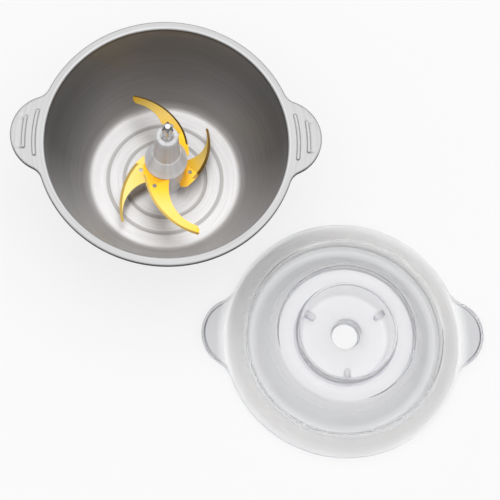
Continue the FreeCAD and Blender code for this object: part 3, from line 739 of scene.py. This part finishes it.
def blend(tree, share, first, second, kind="MIX"):
    """Colour socket that mixes the second colour into the first by the share."""
    return linked(tree, "ShaderNodeMix", {0: share, 6: first, 7: second},
                  data_type="RGBA", blend_type=kind).outputs[2]


def ramp(tree, source, stops):
    """Colour ramp on a socket, stops given as (position, colour) or (position, grey)."""
    node = linked(tree, "ShaderNodeValToRGB", {"Fac": source})
    points = node.color_ramp.elements
    while len(points) < len(stops):
        points.new(0.5)
    for point, (position, colour) in zip(points, stops):
        point.position = position
        point.color = ((colour,) * 3 if isinstance(colour, float) else tuple(colour)) + (1.0,)
    return node.outputs["Color"]


def scaled(tree, socket, low, high, start=0.0, end=1.0):
    """A socket mapped so that low gives the start and high gives the end, kept between them."""
    return linked(tree, "ShaderNodeMapRange", {"Value": socket, "From Min": low, "From Max": high,
                                               "To Min": start, "To Max": end}).outputs["Result"]


def noise(tree, place, scale, detail=3.0):
    """Socket of cloudy noise over Object coordinates."""
    return linked(tree, "ShaderNodeTexNoise", {"Vector": place.outputs["Object"], "Scale": scale,
                                               "Detail": detail}).outputs["Fac"]


def polar(tree, place, centre=(0.0, 0.0)):
    """Sockets of the distance from an upright axis, the height and the turn about the axis."""
    at = linked(tree, "ShaderNodeMapping", {"Vector": place.outputs["Object"],
                                            "Location": (-centre[0], -centre[1], 0)})
    split = linked(tree, "ShaderNodeSeparateXYZ", {"Vector": at.outputs["Vector"]})
    x, y, height = split.outputs
    flat = linked(tree, "ShaderNodeCombineXYZ", {"X": x, "Y": y}).outputs["Vector"]
    length = linked(tree, "ShaderNodeVectorMath", {0: flat}, operation="LENGTH")
    return length.outputs["Value"], height, maths(tree, "ARCTAN2", y, x)


def brushed(tree, place, density, sweep):
    """Fine rings of brushing, and the radius and height that they run over.

    They are noise of (radius, height) * density and of (cos, sin) of the turn * sweep."""
    radius, height, turn = polar(tree, place)
    ring = linked(tree, "ShaderNodeCombineXYZ", {
        "X": maths(tree, "MULTIPLY", radius, density),
        "Y": maths(tree, "MULTIPLY", height, density),
        "Z": maths(tree, "MULTIPLY", maths(tree, "COSINE", turn), sweep)}).outputs["Vector"]
    along = maths(tree, "MULTIPLY", maths(tree, "SINE", turn), sweep)
    lines = linked(tree, "ShaderNodeTexNoise", {"Vector": ring, "W": along, "Scale": 1.0,
                                                "Detail": 3.0, "Roughness": 0.6},
                   noise_dimensions="4D")
    return lines.outputs["Fac"], radius, height


def bowl_steel():
    """Brushed steel: pale spun floor, satin flange, and painted light and shade on wall and lip.

    The wall is painted darker than the floor as shade, dim at the back and lit at the front as
    a studio's lights would show it, with a painted pale band low on the front wall and a
    painted dark band under the mouth. The lip's steep outside is painted near black as shade,
    and the floor's grooves are painted as darker bands of shade. Faces that look away from
    the axis, or down, are the outside; their tone is even. The part of the normal that looks
    away is its product with the place, less the height's share of it."""
    made, tree, shader, place = material("brushed_bowl_steel")
    fine, radius, height = brushed(tree, place, 1500.0, 2.0)
    broad = brushed(tree, place, 700.0, 1.5)[0]
    along_wall = scaled(tree, height, FOOT_TOP, FLANGE_TOP)
    floor = (0.84, 0.83, 0.83)
    mouth = (0.993, (0.70, 0.70, 0.705))
    # Painted shade and light on the wall by height: darker than the floor, with a painted dark band
    # under the mouth; dim is the back wall's ramp, lit the front wall's, with a painted pale band
    # low down.
    dim = ramp(tree, along_wall, [
        (0.0, floor), (0.025, floor), (0.09, (0.48, 0.47, 0.47)), (0.35, (0.34, 0.335, 0.335)),
        (0.65, (0.26, 0.255, 0.255)), (0.955, (0.27, 0.265, 0.265)),
        (0.965, (0.16, 0.155, 0.155)), (0.985, (0.16, 0.155, 0.155)), mouth])
    lit = ramp(tree, along_wall, [
        (0.0, floor), (0.10, (0.92, 0.91, 0.91)), (0.45, floor), (0.955, (0.60, 0.595, 0.595)),
        (0.965, (0.25, 0.245, 0.245)), (0.985, (0.25, 0.245, 0.245)), mouth])
    # Painted light: the wall goes from the dim ramp at the back to the lit ramp at the front (-Y).
    side = linked(tree, "ShaderNodeSeparateXYZ", {"Vector": place.outputs["Object"]})
    front = scaled(tree, side.outputs["Y"], 0.010, -0.075)
    tone = blend(tree, front, dim, lit)

    facing = tree.nodes.new("ShaderNodeNewGeometry").outputs["Normal"]
    away = linked(tree, "ShaderNodeVectorMath", {0: facing, 1: place.outputs["Object"]},
                  operation="DOT_PRODUCT").outputs["Value"]
    upward = linked(tree, "ShaderNodeSeparateXYZ", {"Vector": facing}).outputs["Z"]
    level = maths(tree, "SUBTRACT", away, maths(tree, "MULTIPLY", upward, height))
    outward = maths(tree, "GREATER_THAN", level, 0.004)
    downward = maths(tree, "LESS_THAN", upward, -0.5)
    outside = maths(tree, "MAXIMUM", outward, downward)
    tone = blend(tree, outside, tone, (0.58, 0.58, 0.585, 1))

    lip = maths(tree, "GREATER_THAN", radius, MOUTH_RADIUS + 2 * MM)
    steep = scaled(tree, upward, 0.62, 0.42)
    tone = blend(tree, lip, tone, (0.60, 0.60, 0.605, 1))
    # Painted shade: the lip's steep outside is painted near black.
    tone = blend(tree, maths(tree, "MULTIPLY", lip, steep), tone, (0.05, 0.05, 0.06, 1))
    # Painted shade: each floor groove is darkened into a soft band.
    for middle in GROOVES:
        distance = maths(tree, "ABSOLUTE", maths(tree, "SUBTRACT", radius, middle))
        inside = scaled(tree, distance, GROOVE_HALF + 0.3 * MM, GROOVE_HALF - 0.5 * MM)
        low = maths(tree, "LESS_THAN", height, 6 * MM)
        tone = blend(tree, maths(tree, "MULTIPLY", inside, low), tone, (0.54, 0.525, 0.515, 1))

    lines = maths(tree, "MULTIPLY", maths(tree, "ADD", fine, broad), 0.5)
    streaks = ramp(tree, lines, [(0.38, 0.85), (0.60, 1.0)])
    tangent = linked(tree, "ShaderNodeTangent", direction_type="RADIAL", axis="Z")
    bump = linked(tree, "ShaderNodeBump", {"Height": fine, "Strength": 0.15, "Distance": 0.0001})
    feed(tree, shader, {
        "Base Color": blend(tree, 1.0, tone, streaks, "MULTIPLY"), "Metallic": 1.0,
        "Roughness": scaled(tree, fine, 0.0, 1.0, 0.34, 0.50), "Anisotropic": 0.75,
        "Anisotropic Rotation": 0.25, "Tangent": tangent.outputs["Tangent"],
        "Normal": bump.outputs["Normal"]})
    return made


def gold_coating():
    """Gold coated blade steel, painted deeper orange at the hub and tips as shade and paler
    along the middle of each wing as light.

    The lower pair is painted paler on its -X wing, as painted light."""
    made, tree, shader, place = material("gold_blade_coating")
    radius, height, _ = polar(tree, place)
    upper = maths(tree, "GREATER_THAN", height, 0.030)
    tip = scaled(tree, upper, 0.0, 1.0, 0.056, 0.068)
    reach = scaled(tree, radius, 0.015, tip)
    cloud = noise(tree, place, 70.0)
    along = maths(tree, "ADD", reach, scaled(tree, cloud, 0.0, 1.0, -0.07, 0.07))
    # Painted shade and light along each wing: deep orange at the hub and tip, pale in the middle.
    tone = ramp(tree, along, [
        (0.02, (0.94, 0.45, 0.01)), (0.20, (1.0, 0.58, 0.03)), (0.45, (1.0, 0.68, 0.17)),
        (0.75, (1.0, 0.68, 0.15)), (0.97, (1.0, 0.56, 0.01))])
    side = linked(tree, "ShaderNodeSeparateXYZ", {"Vector": place.outputs["Object"]})
    # Painted light: the lower pair's -X wing is painted paler.
    left = scaled(tree, side.outputs["X"], 0.010, -0.010, 0.05, 0.45)
    pale = blend(tree, left, tone, (1.0, 0.86, 0.36, 1))
    feed(tree, shader, {"Base Color": blend(tree, upper, pale, tone), "Metallic": 0.65,
                        "Roughness": scaled(tree, cloud, 0.0, 1.0, 0.24, 0.34)})
    return made


def ground_edge():
    """Ground bevels with fine grinding marks, painted dark brown as shade, and gold as painted
    light where they look to the left.
    """
    made, tree, shader, place = material("ground_blade_edge")
    marks = brushed(tree, place, 3000.0, 2.0)[0]
    # Painted shade: dark brown bevels; painted light: gold bevels.
    dark = ramp(tree, marks, [(0.3, (0.50, 0.28, 0.07)), (0.7, (0.66, 0.40, 0.12))])
    bright = ramp(tree, marks, [(0.3, (0.95, 0.62, 0.10)), (0.7, (1.0, 0.72, 0.22))])
    facing = tree.nodes.new("ShaderNodeNewGeometry").outputs["Normal"]
    sideways = linked(tree, "ShaderNodeSeparateXYZ", {"Vector": facing}).outputs["X"]
    # Painted light by facing: bevels that look to the left go from the painted dark brown to gold.
    left = scaled(tree, sideways, 0.05, -0.20)
    feed(tree, shader, {"Base Color": blend(tree, left, dark, bright),
                        "Metallic": scaled(tree, left, 0.0, 1.0, 1.0, 0.25), "Roughness": 0.2})
    return made


def blade_underside():
    """Coated steel of the blades' undersides, rougher than above and painted dark brown as the
    shade they stand in.
    """
    made, tree, shader, place = material("blade_underside")
    # Painted shade: the undersides are painted dark brown.
    tone = ramp(tree, noise(tree, place, 120.0),
                [(0.3, (0.28, 0.16, 0.06)), (0.7, (0.42, 0.25, 0.09))])
    feed(tree, shader, {"Base Color": tone, "Metallic": 0.7, "Roughness": 0.4})
    return made


def hub_plastic():
    """Milky moulding with painted light and shade: painted white highlights on the rims, painted
    shade below the skirt, and a neck painted darker where the shaft shows through.
    """
    made, tree, shader, place = material("hub_translucent_plastic")
    _, height, turn = polar(tree, place)
    up = scaled(tree, height, 0.0, 0.110)
    rim = (0.99, 0.99, 1.0)
    # Painted light and shade by height: darker below the skirt, painted white highlights on the
    # skirt's edge and the shoulder, a neck painted darker for the shaft inside it, and a pale top.
    body = ramp(tree, up, [
        (0.0, (0.72, 0.68, 0.65)), (0.43, (0.76, 0.72, 0.70)), (0.452, rim), (0.492, rim),
        (0.505, (0.93, 0.925, 0.93)), (0.60, (0.93, 0.925, 0.93)), (0.617, rim),
        (0.635, (0.86, 0.80, 0.76)), (0.88, (0.90, 0.86, 0.84)), (0.915, (0.97, 0.98, 1.0))])
    cloud = noise(tree, place, 160.0)
    soft = ramp(tree, cloud, [(0.3, 0.94), (0.7, 1.0)])
    tone = blend(tree, 1.0, body, soft, "MULTIPLY")
    # ribs here are darker upright streaks at some bearings, from noise over the turn; they are not
    # the hub's ribs.
    bars = linked(tree, "ShaderNodeTexNoise", {"W": maths(tree, "MULTIPLY", turn, 1.6),
                                               "Scale": 1.0, "Detail": 2.0},
                  noise_dimensions="1D").outputs["Fac"]
    ribs = ramp(tree, bars, [(0.36, (0.86, 0.81, 0.78)), (0.56, 1.0)])
    feed(tree, shader, {"Base Color": blend(tree, 1.0, tone, ribs, "MULTIPLY"),
                        "Roughness": scaled(tree, cloud, 0.0, 1.0, 0.36, 0.5), "IOR": 1.42,
                        "Coat Weight": 0.35, "Coat Roughness": 0.12})
    return made


def polished_steel(name, colour, roughness):
    """Turned or polished steel with faint rings."""
    made, tree, shader, place = material(name)
    lines = brushed(tree, place, 4000.0, 1.0)[0]
    tone = ramp(tree, lines, [(0.3, tuple(c * 0.85 for c in colour)), (0.7, colour)])
    feed(tree, shader, {"Base Color": tone, "Metallic": 1.0, "Roughness": roughness})
    return made


def soft_rubber(name, colour, roughness=0.7):
    """Matt rubber or bush plastic with a fine grain."""
    made, tree, shader, place = material(name)
    tone = ramp(tree, noise(tree, place, 900.0, 2.0),
                [(0.3, tuple(c * 0.88 for c in colour)), (0.7, colour)])
    feed(tree, shader, {"Base Color": tone, "Roughness": roughness})
    return made


def lets_lamps_through(tree, shader, tint):
    """Mix in a Transparent shader for rays from lamps, so that they reach behind the plastic."""
    path = tree.nodes.new("ShaderNodeLightPath")
    film = linked(tree, "ShaderNodeBsdfTransparent", {"Color": tint + (1.0,)})
    both = linked(tree, "ShaderNodeMixShader", {0: path.outputs["Is Shadow Ray"],
                                                1: shader.outputs["BSDF"],
                                                2: film.outputs["BSDF"]})
    tree.links.new(both.outputs["Shader"], tree.nodes["Material Output"].inputs["Surface"])


def clear_plastic(name, clearness):
    """Clear moulded plastic: frosted brim, trough and slope, polished plateau, collar and well."""
    made, tree, shader, place = material(name)
    out = scaled(tree, polar(tree, place, (LID_X, LID_Y))[0], 0.0, 0.120)
    # Painted shade and light by distance from the lid's axis: greyer over the ridge's slope and the
    # trough, white on the crown and brim, darker on the ears.
    tint = ramp(tree, out, [
        (0.0, (0.89, 0.89, 0.905)), (0.46, (0.89, 0.89, 0.905)), (0.49, (0.84, 0.84, 0.85)),
        (0.60, (0.78, 0.785, 0.79)), (0.65, (0.80, 0.805, 0.81)), (0.663, 1.0), (0.80, 1.0),
        (0.87, (0.70, 0.70, 0.715)), (1.0, (0.66, 0.66, 0.69))])
    soft = ramp(tree, noise(tree, place, 30.0), [(0.3, 0.975), (0.7, 1.0)])
    tone = blend(tree, 1.0, tint, soft, "MULTIPLY")
    # Painted reflection: grazing edges are tinted a darker lilac blue.
    graze = linked(tree, "ShaderNodeLayerWeight", {"Blend": 0.35}).outputs["Facing"]
    edge = ramp(tree, graze, [(0.55, 1.0), (0.95, (0.62, 0.64, 0.95))])
    frost = ramp(tree, out, [
        (0.0, 0.04), (0.455, 0.05), (0.50, 0.22), (0.57, 0.40), (0.645, 0.36), (0.657, 0.06),
        (0.682, 0.06), (0.70, 0.30), (0.80, 0.30), (0.90, 0.14)])
    feed(tree, shader, {"Base Color": blend(tree, 1.0, tone, edge, "MULTIPLY"),
                        "Roughness": frost, "Transmission Weight": clearness, "IOR": 1.45})
    lets_lamps_through(tree, shader, (0.90, 0.90, 0.91))
    return made


def frosted_silicone():
    """Frosted silicone with small specks."""
    made, tree, shader, place = material("frosted_seal_silicone")
    out = scaled(tree, polar(tree, place, (LID_X, LID_Y))[0], 0.080, 0.096)
    band = ramp(tree, out, [
        (0.0, (0.80, 0.80, 0.81)), (0.15, 0.90), (0.45, (0.93, 0.905, 0.885)),
        (0.75, (0.96, 0.955, 0.95)), (1.0, 1.0)])
    dots = ramp(tree, noise(tree, place, 700.0), [(0.35, 0.93), (0.6, 1.0)])
    feed(tree, shader, {"Base Color": blend(tree, 1.0, band, dots, "MULTIPLY"),
                        "Transmission Weight": 0.3, "Roughness": 0.5})
    return made


def dress(piece, finish, body=None, nodes=()):
    """Give a piece its material, slot, body and the solids it stands for."""
    piece.data.materials.clear()
    piece.data.materials.append(finish)
    if body:
        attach(piece, body)
    if nodes:
        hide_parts(*nodes)


def seen_as_white(tree, shader, share, output):
    """Show a share of plain white to camera, glossy and transmitted rays in place of the shader."""
    path = tree.nodes.new("ShaderNodeLightPath")
    seen = path.outputs["Is Camera Ray"]
    for other in ("Is Glossy Ray", "Is Transmission Ray"):
        seen = maths(tree, "MAXIMUM", seen, path.outputs[other])
    white = linked(tree, "ShaderNodeEmission", {"Color": (1, 1, 1, 1), "Strength": 1.0})
    both = linked(tree, "ShaderNodeMixShader", {0: maths(tree, "MULTIPLY", seen, share),
                                                1: shader, 2: white.outputs["Emission"]})
    tree.links.new(both.outputs["Shader"], output.inputs["Surface"])


def set_worktop():
    """Plain white worktop that keeps the shadows."""
    mesh = bpy.data.meshes.new("worktop")
    half = WORKTOP_HALF
    mesh.from_pydata([(-half, -half, 0), (half, -half, 0), (half, half, 0), (-half, half, 0)],
                     [], [(0, 1, 2, 3)])
    floor = placed("worktop", mesh)
    made, tree, shader, _ = material("pale_worktop")
    feed(tree, shader, {"Base Color": (0.93, 0.93, 0.93, 1), "Roughness": 0.9})
    seen_as_white(tree, shader.outputs["BSDF"], SEEN_WHITE_SHARE, tree.nodes["Material Output"])
    floor.data.materials.append(made)


def set_lights():
    """A broad soft light overhead and a world that is dimmer near the horizon."""
    world = bpy.data.worlds.new("studio")
    bpy.context.scene.world = world
    world.use_nodes = True
    tree = world.node_tree
    around = tree.nodes.new("ShaderNodeTexCoord").outputs["Generated"]
    way = linked(tree, "ShaderNodeSeparateXYZ", {"Vector": around})
    dome = tree.nodes["Background"]
    sky = ramp(tree, way.outputs["Z"], [(0.0, 0.12), (0.35, 0.26), (0.66, 1.0)])
    feed(tree, dome, {"Color": sky, "Strength": 1.0})
    path = tree.nodes.new("ShaderNodeLightPath")
    white = linked(tree, "ShaderNodeBackground", {"Color": (1, 1, 1, 1), "Strength": 1.0})
    both = linked(tree, "ShaderNodeMixShader", {0: path.outputs["Is Camera Ray"],
                                                1: dome.outputs["Background"],
                                                2: white.outputs["Background"]})
    tree.links.new(both.outputs["Shader"], tree.nodes["World Output"].inputs["Surface"])
    lamp = bpy.data.lights.new("softbox_overhead", "AREA")
    lamp.size = LAMP_SIZE
    lamp.energy = LAMP_POWER
    holder = placed("softbox_overhead", lamp)
    holder.location = LAMP_PLACE
    beam = Vector(LAMP_AIM) - holder.location
    holder.rotation_euler = beam.to_track_quat("-Z", "Y").to_euler()


def set_camera():
    """Camera at the photographed angle: it looks along -back, rolled about that line."""
    el = math.radians(CAMERA_HEIGHT_ANGLE)
    turn = math.radians(CAMERA_TURN)
    roll = math.radians(CAMERA_ROLL)
    back = Vector((math.sin(turn) * math.cos(el), -math.cos(turn) * math.cos(el), math.sin(el)))
    right = Vector((math.cos(turn), math.sin(turn), 0.0))
    up = back.cross(right)
    across = right * math.cos(roll) + up * math.sin(roll)
    upward = up * math.cos(roll) - right * math.sin(roll)
    camera = placed("camera", bpy.data.cameras.new("camera"))
    place = Vector(AIM) + back * CAMERA_DISTANCE
    axes = Matrix((across, upward, back)).transposed().to_4x4()
    camera.matrix_world = Matrix.Translation(place) @ axes
    camera.data.lens = LENS
    camera.data.sensor_width = SENSOR_WIDTH
    camera.data.clip_start = 0.01
    bpy.context.scene.camera = camera


steel = bowl_steel()
gold = gold_coating()
hub = hub_plastic()
clear = clear_plastic("clear_lid_plastic", 0.84)
lug_finish = clear_plastic("clear_lug_plastic", 0.4)

dress(make_bowl(), steel, "bowl", ["bowl_shell"])
dress(make_lid(), clear, "lid", ["lid_shell"])
for number in range(LUG_COUNT):
    lug = make_lug(number + 1, LUG_BEARING + 360.0 / LUG_COUNT * number)
    dress(lug, lug_finish, "lid")
dress(make_seal(), frosted_silicone(), "lid", ["lid_seal"])
dress(make_hub(), hub, "blade_unit", ["blade_hub"])
dress(make_hub_ribs(), hub, "blade_unit")
# The bevel and underside materials carry painted light and shade.
finishes_with_painted_shade = (gold, ground_edge(), blade_underside())
for node, edge, bevel in (("upper_blades", UPPER_EDGE, UPPER_BEVEL),
                          ("lower_blades", LOWER_EDGE, LOWER_BEVEL)):
    blades = rounded_copy(node, node + "_ground", BROKEN_EDGE)
    paint_blades(blades, edge, bevel, finishes_with_painted_shade)
    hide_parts(node)
star_finish = polished_steel("star_polished_steel", (0.62, 0.61, 0.61), 0.2)
dress(make_star(), star_finish, "blade_unit", ["drive_star"])

dress(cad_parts["blade_spacer"], hub)
dress(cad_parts["hub_foot"], hub)
dress(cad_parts["base_ring"], soft_rubber("dark_base_rubber", (0.16, 0.16, 0.17)))
dress(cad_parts["pin_seal"], soft_rubber("grey_seal_rubber", (0.55, 0.55, 0.55)))
dress(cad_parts["pivot_sleeve"], soft_rubber("sleeve_bush_plastic", (0.85, 0.85, 0.83), 0.4))
pin_finish = polished_steel("turned_pin_steel", (0.68, 0.68, 0.69), 0.25)
for node in ("spindle_pin", "pin_washer", "pin_nut"):
    dress(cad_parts[node], pin_finish)

set_worktop()
set_lights()
set_camera()
bpy.context.scene.view_settings.view_transform = "Standard"
